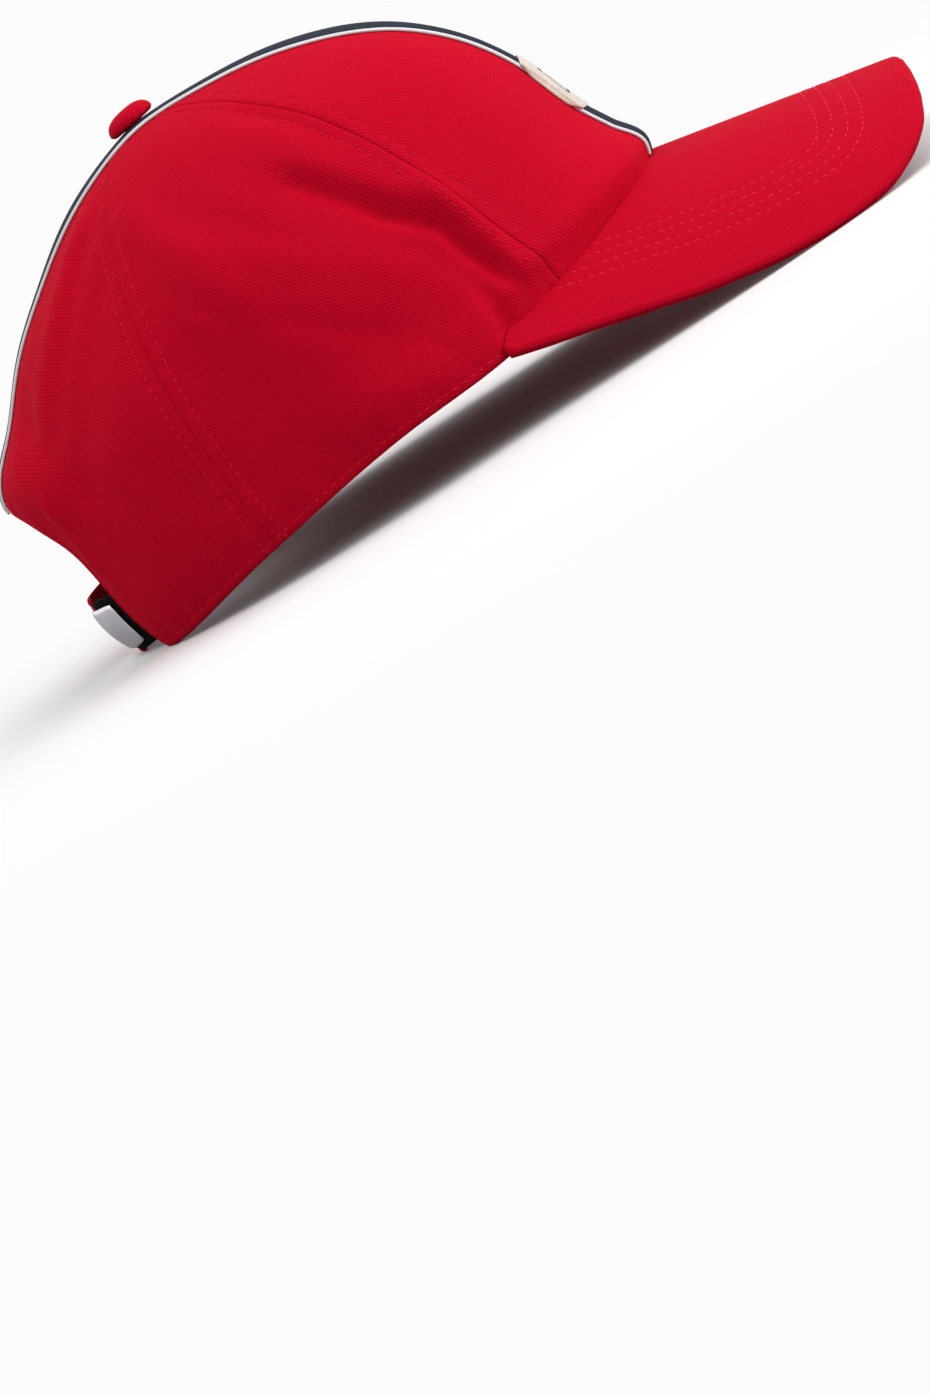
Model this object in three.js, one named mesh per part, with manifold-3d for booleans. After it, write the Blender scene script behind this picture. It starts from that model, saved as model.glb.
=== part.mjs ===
import * as THREE from "three";
import { mergeVertices } from "three/addons/utils/BufferGeometryUtils.js";
import Module from "manifold-3d";

// A six-panel baseball cap of cotton twill, standing on its peak and the back of its rim.
// Millimetres, +X to the front of the peak, +Y to the wearer's left, +Z up.
// The crown is worked out with its rim level, and the whole cap is tipped to its rest at the end.

// Crown
const crownFront = 105; // button axis to the front seam, at the widest level
const crownBack = 101; // button axis to the middle of the back
const crownHalfWidth = 80;
const crownRise = 100.5; // widest level to the top
const widestLevel = 12; // height of the widest level over the rim
const frontFullness = 1.95; // 2 is an ellipse seen from above, more is squarer
const backFullness = 2.1;
const clothWall = 1.6;
const seamGap = 0.3;
const topHoleRadius = 3.5; // where the six panels meet under the button

// Seams, as turns about the button axis from the front
const frontSeamTurn = 44.5;
const frontSeamBow = 2.5;
const frontSeamTop = 50; // turn of the front seams where they meet under the button
const backSeamTurn = 122;
const backSeamBow = -1.5;
const backSeamTop = 122;
const peakCornerTurn = 62;

// Opening at the back
const archHalfWidth = 31;
const archTop = 57.5;
const archSquareness = 0.9; // 1 is an ellipse, less is squarer

// Peak
const peakLength = 76.5; // front seam to tip, along the ridge
const peakHalfWidth = 88; // laid flat
const peakBend = 106; // radius of the bend about the ridge
const peakDip = 20.8; // degrees that the ridge falls below the rim
const peakRootHeight = 6.2; // underside of the peak over the rim, at the front seam
const peakBoard = 2; // covered board
const peakLining = 1; // cloth under the board

// Ribbon, button and badge
const ribbonWidth = 25;
const ribbonThick = 0.6;
const ribbonLift = 0.45;
const buttonDiameter = 15;
const buttonHeight = 5;
const buttonFoot = 0.86; // share of the button's width that it stands on
const buttonWall = 0.22; // share of its height under the dome
const badgeHeight = 25.5;
const badgeWidth = 27;
const badgeThick = 1.6;
const badgeThinning = 0.35; // share of its thickness lost at the edge
const badgeCorner = 0.12; // share that its corners are drawn in
const badgeMiddle = 17.6; // degrees over the widest level

// Closure
const strapWidth = 21.5;
const strapLow = -1; // lower edge over the rim
const strapThick = 1.6;
const strapSwell = 2.4; // how far the strap bows out past the crown in the middle of the opening
const strapTuck = 12; // length held inside each side of the opening
const strapClear = 0.9; // to the cloth it is held against
const freeShare = 0.8; // share of the opening over which the strap bows out
const plateHeight = 15;
const plateWidth = 27;
const plateThick = 1.1;
const plateSwell = 0.9;
const tabInset = 1; // tab's edges inside the strap's
const joinTurn = 4; // degrees that the join lies to the right of the middle
const archClear = 2; // strap's upper edge to where the arch starts to close

const restFlat = 0.5; // depth of cloth pressed flat on the surface
const fitGap = 0.3;

const archFoot = strapLow + strapWidth + archClear;
const degree = Math.PI / 180;
const peakThick = peakLining + fitGap + peakBoard;
const middle = new THREE.Vector3(0, 0, widestLevel);

// How far the crown stands from its middle, as shares of the plain oval dome,
// by degrees over the widest level
const crownForm = [
  { up: -12, front: 0.965, side: 0.975, back: 0.965 },
  { up: -3, front: 0.985, side: 0.995, back: 0.981 },
  { up: 1, front: 1.01, side: 1.001, back: 0.986 },
  { up: 6, front: 0.977, side: 1.004, back: 0.99 },
  { up: 13, front: 0.958, side: 1.01, back: 1.0 },
  { up: 25, front: 0.982, side: 1.02, back: 1.02 },
  { up: 36, front: 1.001, side: 1.026, back: 1.012 },
  { up: 46, front: 1.007, side: 1.026, back: 0.998 },
  { up: 62, front: 0.99, side: 1.014, back: 0.98 },
  { up: 76, front: 0.984, side: 1.0, back: 0.983 },
  { up: 90, front: 1.0, side: 1.0, back: 1.0 },
];

// Height of the crown's lower edge over the rim, as shares of the peak's root height
const rimForm = [
  { turn: 0, height: 1 },
  { turn: 12, height: 0.46 },
  { turn: 25, height: 0.13 },
  { turn: 42, height: -0.12 },
  { turn: 62, height: -0.22 },
  { turn: 90, height: 0.38 },
  { turn: 125, height: 0.25 },
  { turn: 150, height: -0.34 },
  { turn: 162, height: -0.5 },
  { turn: 180, height: -0.5 },
];

// Soft dents (depth over 0) and ridges (under 0) of the cloth, each along a line from one place
// of the crown to another, with its width and depth as shares of the crown's half width
const folds = [
  { turn: 63, up: 40, toTurn: 52.5, toUp: 9, width: 0.075, depth: 0.032 },
  { turn: 55.5, up: 60, toTurn: 57, toUp: 42, width: 0.05, depth: 0.01 },
  { turn: 68, up: 52, toTurn: 61, toUp: 22, width: 0.07, depth: -0.014 },
  { turn: 110, up: 60, toTurn: 97, toUp: 34, width: 0.09, depth: -0.014 },
  { turn: 113, up: 30, toTurn: 103, toUp: 4, width: 0.17, depth: 0.024 },
  { turn: 140, up: 62, toTurn: 150, toUp: 38, width: 0.07, depth: -0.018 },
  { turn: 136, up: 40, toTurn: 138, toUp: 20, width: 0.09, depth: 0.016 },
  { turn: 153, up: 27, toTurn: 156, toUp: 12, width: 0.1, depth: 0.014 },
  { turn: 171, up: 25, toTurn: 180, toUp: 25, width: 0.15, depth: -0.085 },
];

// The peak's outer edge laid flat, from the tip to beside the corner
const peakEdge = [
  { forward: 1.0, across: 0 },
  { forward: 1.0, across: 0.24 },
  { forward: 0.985, across: 0.47 },
  { forward: 0.92, across: 0.67 },
  { forward: 0.74, across: 0.85 },
  { forward: 0.42, across: 0.95 },
  { forward: 0.04, across: 0.98 },
  { forward: -0.34, across: 0.965 },
];

// Colours and finishes
const redTwill = { color: 0xc8102e, roughness: 0.85 };
const navyRibbon = { color: 0x1f2d47, roughness: 0.6 };
const creamFelt = { color: 0xe6dcc6, roughness: 0.9 };
const blackTape = { color: 0x0d0d10, roughness: 0.8 };
const steelPlate = { color: 0xc9c6cc, roughness: 0.3, metalness: 1 };

const wasm = await Module();
wasm.setup();

// A smooth value between the rows of a table
function between(rows, key, column, at) {
  const last = rows.length - 1;
  const x = Math.min(Math.max(at, rows[0][key]), rows[last][key]);
  let i = 0;
  while (i < last - 1 && x > rows[i + 1][key]) i += 1;
  const slope = (k) => {
    const a = rows[Math.max(k - 1, 0)];
    const b = rows[Math.min(k + 1, last)];
    return (b[column] - a[column]) / (b[key] - a[key]);
  };
  const span = rows[i + 1][key] - rows[i][key];
  const t = (x - rows[i][key]) / span;
  const rise = t * t * (3 - 2 * t);
  const start = t * (1 - t) * (1 - t) * span * slope(i);
  const end = t * t * (t - 1) * span * slope(i + 1);
  return rows[i][column] + (rows[i + 1][column] - rows[i][column]) * rise + start + end;
}

// Turns over half a circle are the same as on the other side of the cap
function evenTurn(turn) {
  const t = Math.abs(turn);
  return t > 180 ? 360 - t : t;
}

// Crown

function foldDepth(turn, up) {
  let depth = 0;
  for (const fold of folds) {
    const level = Math.cos((up + fold.up) * 0.5 * degree);
    const around = (turn - fold.turn) * degree * level;
    const over = (up - fold.up) * degree;
    const aroundAll = (fold.toTurn - fold.turn) * degree * level;
    const overAll = (fold.toUp - fold.up) * degree;
    const span = Math.hypot(aroundAll, overAll);
    const along = (around * aroundAll + over * overAll) / span;
    const past = Math.max(-along, along - span, 0) * 0.5;
    const across = (over * aroundAll - around * overAll) / span;
    const away = Math.hypot(across, past) / fold.width;
    depth += fold.depth * crownHalfWidth * Math.exp(-away * away);
  }
  return depth;
}

// Distance from the middle of the crown to its outer face
function crownDistance(turn, up) {
  const even = evenTurn(turn);
  const c = Math.abs(Math.cos(even * degree));
  const s = Math.sin(even * degree);
  const end = even < 90 ? crownFront : crownBack;
  const full = even < 90 ? frontFullness : backFullness;
  const plan = ((c / end) ** full + (s / crownHalfWidth) ** full) ** (-1 / full);
  const dome = 1 / Math.hypot(Math.cos(up * degree) / plan, Math.sin(up * degree) / crownRise);
  const endShare = between(crownForm, "up", even < 90 ? "front" : "back", up);
  const sideShare = between(crownForm, "up", "side", up);
  return dome * (endShare * c * c + sideShare * s * s) - foldDepth(even, up);
}

function crownPlace(turn, up) {
  const far = crownDistance(turn, up);
  const level = far * Math.cos(up * degree);
  return new THREE.Vector3(
    level * Math.cos(turn * degree),
    level * Math.sin(turn * degree),
    middle.z + far * Math.sin(up * degree),
  );
}

// A point off the crown's outer face, outward over 0
function crownPoint(turn, up, outward = 0) {
  const step = 0.5;
  const p = crownPlace(turn, up);
  if (outward === 0) return p;
  const around = crownPlace(turn + step, up).sub(crownPlace(turn - step, up));
  const over = crownPlace(turn, up + step).sub(crownPlace(turn, up - step));
  return p.addScaledVector(around.cross(over).normalize(), outward);
}

function polar(p) {
  const level = Math.hypot(p.x, p.y);
  return {
    turn: Math.atan2(p.y, p.x) / degree,
    up: Math.atan2(p.z - middle.z, level) / degree,
    far: Math.hypot(level, p.z - middle.z),
  };
}

// How far a point lies outside the crown's outer face
function outside(p) {
  const at = polar(p);
  return at.far - crownDistance(at.turn, at.up);
}

// The place where a ray leaves the crown, from a start inside it
function leaveCrown(start, direction, clearance = 0, reach = 300) {
  let inner = 0;
  let outer = reach;
  for (let i = 0; i < 40; i += 1) {
    const half = (inner + outer) / 2;
    if (outside(start.clone().addScaledVector(direction, half)) < clearance) inner = half;
    else outer = half;
  }
  return inner;
}

// The point of the crown at a distance across from the centre line and an angle over the
// widest level, from the front (0) to the back (180)
function crossPoint(across, angle, outward) {
  const start = new THREE.Vector3(0, across, middle.z);
  const direction = new THREE.Vector3(Math.cos(angle * degree), 0, Math.sin(angle * degree));
  const at = polar(start.addScaledVector(direction, leaveCrown(start, direction)));
  return crownPoint(at.turn, at.up, outward);
}

// The angle over the widest level of the crown at a height and a turn
function upAtHeight(turn, height) {
  let up = 0;
  for (let i = 0; i < 30; i += 1) {
    up = Math.asin((height - middle.z) / crownDistance(turn, up)) / degree;
  }
  return up;
}

function rimHeight(turn) {
  return peakRootHeight * between(rimForm, "turn", "height", evenTurn(turn));
}

function rimUp(turn) {
  return upAtHeight(turn, rimHeight(turn));
}

// The seams run from the rim to the top with a slight bow
function seamTurn(rimTurn, topTurn, bow, rise) {
  return rimTurn + (topTurn - rimTurn) * rise + bow * Math.sin(Math.PI * rise);
}

const centreFront = [0, 0, 0];
const frontSeam = [frontSeamTurn, frontSeamTop, frontSeamBow];
const backSeam = [backSeamTurn, backSeamTop, backSeamBow];
const centreBack = [180, 180, 0];
const panels = {
  front: { from: centreFront, to: frontSeam, columns: 9 },
  side: { from: frontSeam, to: backSeam, columns: 14 },
  back: { from: backSeam, to: centreBack, columns: 13 },
};
const panelRows = 18;
const rowCrowding = 1.25; // over 1, the rows lie closer together towards the rim

// The back panel's lower edge runs along the rim and then up the arch of the opening
function archPlace(share) {
  const turned = (share * Math.PI) / 2;
  const across = archHalfWidth * Math.cos(turned) ** archSquareness;
  const height = archFoot + (archTop - archFoot) * Math.sin(turned) ** archSquareness;
  return backPlace(across, height);
}

function backPlace(across, height) {
  const start = new THREE.Vector3(0, across, height);
  const back = new THREE.Vector3(-1, 0, 0);
  const at = polar(start.addScaledVector(back, leaveCrown(start, back)));
  return { turn: at.turn, up: at.up };
}

const footRim = backPlace(archHalfWidth, rimHeight(180));
const footTop = backPlace(archHalfWidth, archFoot);

// Shares of the edge's columns where the rim ends and where the arch starts
const rimShare = 0.42;
const footShare = 0.57;

function backEdge(share) {
  if (share <= rimShare) {
    const turn = backSeamTurn + ((footRim.turn - backSeamTurn) * share) / rimShare;
    return { turn, up: rimUp(turn) };
  }
  if (share <= footShare) {
    const rise = (share - rimShare) / (footShare - rimShare);
    const base = rimUp(footRim.turn);
    return {
      turn: footRim.turn + (footTop.turn - footRim.turn) * rise,
      up: base + (footTop.up - base) * rise,
    };
  }
  return archPlace((share - footShare) / (1 - footShare));
}

const topUp = Math.acos(topHoleRadius / crownRise) / degree;

// A place on a panel: share across it from 0 to 1, and rise from its lower edge to the top
function panelPlace(name, share, rise) {
  const { from, to } = panels[name];
  const fromTurn = seamTurn(...from, rise);
  const toTurn = seamTurn(...to, rise);
  if (name !== "back") {
    const turn = fromTurn + (toTurn - fromTurn) * share;
    const low = rimUp(from[0] + (to[0] - from[0]) * share);
    return { turn, up: low + (topUp - low) * rise };
  }
  const edge = backEdge(share);
  const topTurn = from[1] + (to[1] - from[1]) * share;
  const bow = from[2] * Math.sin(Math.PI * rise) * (1 - share);
  return {
    turn: edge.turn + (topTurn - edge.turn) * rise + bow,
    up: edge.up + (topUp - edge.up) * rise,
  };
}

// Turns a point half the seam's gap away from the seam
function gapTurn(up, sign) {
  const radius = Math.max(crownRise * Math.cos(up * degree), topHoleRadius);
  return (sign * seamGap) / 2 / radius / degree;
}

// Solids

function solidFrom(points, faces) {
  const geometry = new THREE.BufferGeometry();
  const position = new Float32Array(points.length * 3);
  points.forEach((p, i) => p.toArray(position, i * 3));
  let volume = 0;
  for (const [a, b, c] of faces) volume += points[a].dot(points[b].clone().cross(points[c]));
  const outward = volume > 0 ? faces : faces.map(([a, b, c]) => [a, c, b]);
  geometry.setAttribute("position", new THREE.BufferAttribute(position, 3));
  geometry.setIndex(outward.flat());
  return geometry;
}

// A closed sheet of cloth between two faces, each a function of a column and a row share
function sheet(columns, rows, upper, lower) {
  const points = [];
  const faces = [];
  const at = (side, i, j) => side * (columns + 1) * (rows + 1) + j * (columns + 1) + i;
  for (const face of [upper, lower]) {
    for (let j = 0; j <= rows; j += 1) {
      for (let i = 0; i <= columns; i += 1) points.push(face(i / columns, j / rows));
    }
  }
  const quad = (a, b, c, d) => faces.push([a, b, c], [a, c, d]);
  for (let j = 0; j < rows; j += 1) {
    for (let i = 0; i < columns; i += 1) {
      quad(at(0, i, j), at(0, i + 1, j), at(0, i + 1, j + 1), at(0, i, j + 1));
      quad(at(1, i, j), at(1, i, j + 1), at(1, i + 1, j + 1), at(1, i + 1, j));
    }
  }
  for (let i = 0; i < columns; i += 1) {
    quad(at(0, i, 0), at(1, i, 0), at(1, i + 1, 0), at(0, i + 1, 0));
    quad(at(0, i, rows), at(0, i + 1, rows), at(1, i + 1, rows), at(1, i, rows));
  }
  for (let j = 0; j < rows; j += 1) {
    quad(at(0, 0, j), at(0, 0, j + 1), at(1, 0, j + 1), at(1, 0, j));
    quad(at(0, columns, j), at(1, columns, j), at(1, columns, j + 1), at(0, columns, j + 1));
  }
  return solidFrom(points, faces);
}

function mesh(name, geometry, finish) {
  const made = new THREE.Mesh(geometry, new THREE.MeshStandardMaterial(finish));
  made.name = name;
  return made;
}

// Six panels

function panelMesh(name, side, label) {
  const { columns } = panels[name];
  const face = (outward) => (share, row) => {
    const place = panelPlace(name, share, row ** rowCrowding);
    let { turn } = place;
    if (share === 0) turn += gapTurn(place.up, 1);
    if (share === 1) turn -= gapTurn(place.up, 1);
    return crownPoint(side * turn, place.up, outward);
  };
  return mesh(`${name}_panel_${label}`, sheet(columns, panelRows, face(0), face(-clothWall)), redTwill);
}

// Peak

const dip = peakDip * degree;
const peakForward = new THREE.Vector3(Math.cos(dip), 0, -Math.sin(dip));
const peakUpward = new THREE.Vector3(Math.sin(dip), 0, Math.cos(dip));
const peakRoot = crownPlace(0, upAtHeight(0, peakRootHeight));

// A point of the peak: forward of the root along the ridge, across when laid flat,
// and up from its underside
function peakPoint(forward, across, lift) {
  const bend = across / peakBend;
  const rise = (peakBend + lift) * Math.cos(bend) - peakBend;
  return peakRoot
    .clone()
    .addScaledVector(peakForward, forward)
    .addScaledVector(peakUpward, rise)
    .add(new THREE.Vector3(0, (peakBend + lift) * Math.sin(bend), 0));
}

// Where the peak meets the crown, forward of the root
function peakInner(across, lift) {
  const reach = crownFront;
  const start = peakPoint(-reach, across, lift);
  return leaveCrown(start, peakForward, fitGap, 2 * reach) - reach;
}

const corner = crownPlace(peakCornerTurn, rimUp(peakCornerTurn));
const cornerAcross = peakBend * Math.asin(corner.y / peakBend);
const cornerEnd = 2.5; // blunt end of the peak beside the corner

function peakOuter(share) {
  const last = peakEdge.length;
  const inner = peakInner(cornerAcross, 0);
  const rows = peakEdge.map((row, i) => ({
    at: i / last,
    forward: row.forward * peakLength,
    across: row.across * peakHalfWidth,
  }));
  rows.push({ at: 1, forward: inner - cornerEnd / 2, across: cornerAcross + cornerEnd });
  return {
    forward: between(rows, "at", "forward", share),
    across: between(rows, "at", "across", share),
  };
}

const peakColumns = 28;
const peakRows = 7;

function peakFace(lift) {
  const cache = [];
  for (let i = 0; i <= peakColumns; i += 1) {
    const share = Math.abs((2 * i) / peakColumns - 1);
    const across = cornerAcross * share;
    cache.push({ across, forward: peakInner(across, lift), outer: peakOuter(share) });
  }
  return (column, row) => {
    const i = Math.round(column * peakColumns);
    const sign = column < 0.5 ? -1 : 1;
    const { across, forward, outer } = cache[i];
    return peakPoint(
      forward + (outer.forward - forward) * row,
      sign * (across + (outer.across - across) * row),
      lift,
    );
  };
}

function peakMesh(name, low, high) {
  return mesh(name, sheet(peakColumns, peakRows, peakFace(high), peakFace(low)), redTwill);
}

// Ribbon over the crown, from the peak to the top of the opening

const ribbonColumns = 4;
const ribbonRows = 72;

function ribbonEnd(across, front) {
  const height = front
    ? peakPoint(0, across, peakThick).z + fitGap + ribbonLift
    : archFoot + (archTop - archFoot) * Math.sqrt(1 - (across / archHalfWidth) ** 2);
  let angle = 10;
  for (let i = 0; i < 30; i += 1) {
    const p = crossPoint(across, front ? angle : 180 - angle, ribbonLift);
    angle += ((height - p.z) / crownRise / degree) * 0.8;
  }
  return front ? angle : 180 - angle;
}

function ribbonFace(outward) {
  const ends = [];
  for (let i = 0; i <= ribbonColumns; i += 1) {
    const across = ribbonWidth * (i / ribbonColumns - 0.5);
    ends.push({ across, front: ribbonEnd(across, true), back: ribbonEnd(across, false) });
  }
  return (column, row) => {
    const { across, front, back } = ends[Math.round(column * ribbonColumns)];
    return crossPoint(across, front + (back - front) * row, outward);
  };
}

function ribbonMesh() {
  const top = ribbonFace(ribbonLift + ribbonThick);
  return mesh("centre_ribbon", sheet(ribbonColumns, ribbonRows, top, ribbonFace(ribbonLift)), navyRibbon);
}

// Button: a covered dome seated on the ribbon

function buttonMesh() {
  const rings = 5;
  const sides = 20;
  const seat = crownPlace(0, 90).z + ribbonLift + ribbonThick + fitGap;
  const points = [new THREE.Vector3(0, 0, seat), new THREE.Vector3(0, 0, seat + buttonHeight)];
  const faces = [];
  for (let k = 0; k <= rings; k += 1) {
    const rise = (k / (rings + 1)) * 90 * degree;
    const level = (buttonDiameter / 2) * (k === 0 ? buttonFoot : Math.cos(rise) ** 0.7);
    const high = k === 0 ? 0 : buttonHeight * (buttonWall + (1 - buttonWall) * Math.sin(rise));
    for (let i = 0; i < sides; i += 1) {
      const turned = (i / sides) * 2 * Math.PI;
      const [x, y] = [level * Math.cos(turned), level * Math.sin(turned)];
      points.push(new THREE.Vector3(x, y, seat + high));
    }
  }
  const at = (k, i) => 2 + k * sides + (i % sides);
  for (let i = 0; i < sides; i += 1) {
    faces.push([0, at(0, i + 1), at(0, i)]);
    for (let k = 0; k < rings; k += 1) {
      faces.push([at(k, i), at(k, i + 1), at(k + 1, i + 1)], [at(k, i), at(k + 1, i + 1), at(k + 1, i)]);
    }
    faces.push([1, at(rings, i), at(rings, i + 1)]);
  }
  return mesh("top_button", solidFrom(points, faces), redTwill);
}

// Badge: a raised plain patch on the front, over the ribbon

function badgeMesh() {
  const count = 10;
  const halfTurn = (badgeHeight / 2 / crownFront) / degree;
  // A square opened into a shape with round corners
  const place = (u, v) => {
    const a = 2 * u - 1;
    const b = 2 * v - 1;
    const soft = 1 - badgeCorner * a * a * b * b;
    return { across: (badgeWidth / 2) * a * soft, angle: badgeMiddle + halfTurn * b * soft, a, b };
  };
  const seat = ribbonLift + ribbonThick + fitGap;
  const lower = (u, v) => {
    const at = place(u, v);
    return crossPoint(at.across, at.angle, seat);
  };
  const upper = (u, v) => {
    const at = place(u, v);
    const edge = Math.max(Math.abs(at.a), Math.abs(at.b));
    return crossPoint(at.across, at.angle, seat + badgeThick * (1 - badgeThinning * edge ** 6));
  };
  return mesh("front_badge", sheet(count, count, upper, lower), creamFelt);
}

// Closure across the opening: a strap from the left, a tab from the right and a plate over the join

const strapMiddle = strapLow + strapWidth / 2;
const strapUp = upAtHeight(180, strapMiddle);
const strapHalfTurn = 180 - backPlace(archHalfWidth, strapMiddle).turn;
const tuckTurn = strapTuck / crownHalfWidth / degree;

// The bands lie inside the crown at the sides of the opening and swell out between them
function bandLift(turn) {
  const near = Math.min(Math.abs(turn) / (strapHalfTurn * freeShare), 1);
  const hidden = clothWall + strapClear;
  return (strapSwell + hidden) * (1 - near * near) ** 1.5 - hidden;
}

function bandPoint(turn, height, outward) {
  const up = upAtHeight(180, height);
  const slack = up - strapUp;
  return crownPoint(180 + turn, strapUp + slack, bandLift(turn) + outward);
}

// A band between two turns
function bandMesh(name, finish, columns, { from, to, inset }) {
  const low = strapLow + inset;
  const wide = strapWidth - 2 * inset;
  const face = (outward) => (u, v) => bandPoint(from + (to - from) * u, low + wide * v, outward);
  return mesh(name, sheet(columns, 3, face(0), face(-strapThick)), finish);
}

// The strap and the tab meet end to end under the plate
function closureMeshes() {
  const bandEnd = strapHalfTurn + tuckTurn;
  const plateHalfTurn = plateWidth / 2 / crownBack / degree;
  const gapHalfTurn = fitGap / 2 / crownBack / degree;
  const strap = bandMesh("strap", redTwill, 18, {
    from: -bandEnd,
    to: joinTurn - gapHalfTurn,
    inset: 0,
  });
  const tab = bandMesh("strap_tab", blackTape, 14, {
    from: joinTurn + gapHalfTurn,
    to: bandEnd,
    inset: tabInset,
  });
  const plateFace = (outward) => (u, v) => {
    const round = (1 - (2 * v - 1) ** 2) * (1 - (2 * u - 1) ** 4);
    const turn = joinTurn + plateHalfTurn * (2 * u - 1);
    return bandPoint(turn, strapMiddle + plateHeight * (v - 0.5), outward(round));
  };
  const top = plateFace((round) => fitGap + plateThick + plateSwell * round);
  const plate = mesh("clasp_plate", sheet(10, 6, top, plateFace(() => fitGap)), steelPlate);
  return [strap, tab, plate];
}

// Assembly, tipped until it stands by itself

function solidOf(geometry, matrix) {
  const placed = geometry.clone().applyMatrix4(matrix);
  const merged = mergeVertices(placed, 1e-4);
  return new wasm.Manifold(
    new wasm.Mesh({
      numProp: 3,
      vertProperties: merged.attributes.position.array,
      triVerts: new Uint32Array(merged.index.array),
    }),
  );
}

function geometryOf(solid, matrix) {
  const made = solid.getMesh();
  const geometry = new THREE.BufferGeometry();
  geometry.setAttribute("position", new THREE.BufferAttribute(made.vertProperties.slice(), 3));
  geometry.setIndex([...made.triVerts]);
  return geometry.applyMatrix4(matrix);
}

const cap = new THREE.Group();
for (const [side, label] of [[1, "left"], [-1, "right"]]) {
  for (const name of Object.keys(panels)) cap.add(panelMesh(name, side, label));
}
cap.add(peakMesh("peak_lining", 0, peakLining));
cap.add(peakMesh("peak_board", peakLining + fitGap, peakThick));
cap.add(ribbonMesh(), buttonMesh(), badgeMesh(), ...closureMeshes());

// The two places that a level surface under the cap touches, seen from the side
function restAngle(meshes) {
  const points = meshes.flatMap((m) => {
    const position = m.geometry.attributes.position;
    return Array.from({ length: position.count }, (_, i) => [position.getX(i), position.getZ(i)]);
  });
  let angle = 0;
  for (let i = 0; i < 20; i += 1) {
    const drop = ([x, z]) => z * Math.cos(angle) - x * Math.sin(angle);
    const lowest = (list) => list.reduce((a, b) => (drop(a) < drop(b) ? a : b));
    const front = lowest(points.filter(([x]) => x > 0));
    const back = lowest(points.filter(([x]) => x < 0));
    angle = Math.atan2(front[1] - back[1], front[0] - back[0]);
  }
  return angle;
}

cap.rotation.y = restAngle(cap.children);
cap.updateMatrixWorld(true);

const bounds = new THREE.Box3().setFromObject(cap, true);
const centre = bounds.getCenter(new THREE.Vector3());
cap.position.set(-centre.x, -centre.y, -bounds.min.z - restFlat);
cap.updateMatrixWorld(true);

// Cloth below the surface is pressed flat
const below = new THREE.BoxGeometry(4 * crownFront, 4 * crownFront, crownFront);
below.translate(0, 0, -crownFront / 2);
below.deleteAttribute("normal");
below.deleteAttribute("uv");
const surface = solidOf(below, new THREE.Matrix4());
for (const piece of cap.children) {
  const box = new THREE.Box3().setFromObject(piece, true);
  if (box.min.z < 0) {
    const cut = solidOf(piece.geometry, piece.matrixWorld).subtract(surface);
    piece.geometry = geometryOf(cut, piece.matrixWorld.clone().invert());
  }
}

export default cap;
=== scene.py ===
from math import cos, radians, sin

import bpy
import numpy as np
from mathutils import Matrix, Vector


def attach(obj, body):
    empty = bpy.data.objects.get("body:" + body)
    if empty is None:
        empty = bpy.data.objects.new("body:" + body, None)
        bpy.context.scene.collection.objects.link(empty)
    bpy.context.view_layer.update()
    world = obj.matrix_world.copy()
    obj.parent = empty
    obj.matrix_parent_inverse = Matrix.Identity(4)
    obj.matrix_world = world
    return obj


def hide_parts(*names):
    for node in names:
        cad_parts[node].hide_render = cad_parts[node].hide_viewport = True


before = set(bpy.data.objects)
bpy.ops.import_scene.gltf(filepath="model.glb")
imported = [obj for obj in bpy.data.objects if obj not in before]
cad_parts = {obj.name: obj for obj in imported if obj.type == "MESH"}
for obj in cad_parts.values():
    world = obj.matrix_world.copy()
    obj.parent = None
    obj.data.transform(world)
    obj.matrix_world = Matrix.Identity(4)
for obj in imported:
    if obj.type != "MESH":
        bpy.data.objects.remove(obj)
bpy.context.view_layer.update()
scene = bpy.context.scene
mm = 0.001

# a red cotton baseball cap, worked out in millimetres with its rim level and the
# button over the origin, +x to the front and +y to the wearer's left, then tipped
# to the way it stands by itself

crown = {
    "front": 105,  # button axis to the front seam
    "back": 101,
    "halfWidth": 80,
    "rise": 100.5,  # widest level to the top
    "widest": 12,  # height of the widest level over the rim
    "frontFullness": 1.95,  # 2 is an ellipse seen from above
    "backFullness": 2.1,
    "wall": 1.6,
    "topHole": 3.5,
    "seamGap": 0.12,
    "tilt": 8.53,  # degrees that the front stands up
    "shift": (-34.14, 0, 15.85),
}

# shares of the plain oval dome, by degrees over the widest level
crownForm = {
    "up": [-12, -3, 1, 6, 13, 25, 36, 46, 62, 76, 90],
    "front": [0.965, 0.985, 1.01, 0.977, 0.958, 0.982, 1.001, 1.007, 0.99, 0.984, 1.0],
    "side": [0.975, 0.995, 1.001, 1.004, 1.01, 1.02, 1.026, 1.026, 1.014, 1.0, 1.0],
    "back": [0.965, 0.981, 0.986, 0.99, 1.0, 1.02, 1.012, 0.998, 0.98, 0.983, 1.0],
}

# height of the lower edge over the rim in millimetres, by turns from the front
rimForm = {
    "turn": [0, 12, 25, 42, 62, 90, 125, 150, 162, 180],
    "height": [6.2, 2.85, 0.81, -0.74, -1.36, 2.36, 1.55, -2.11, -3.1, -3.1],
}

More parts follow.
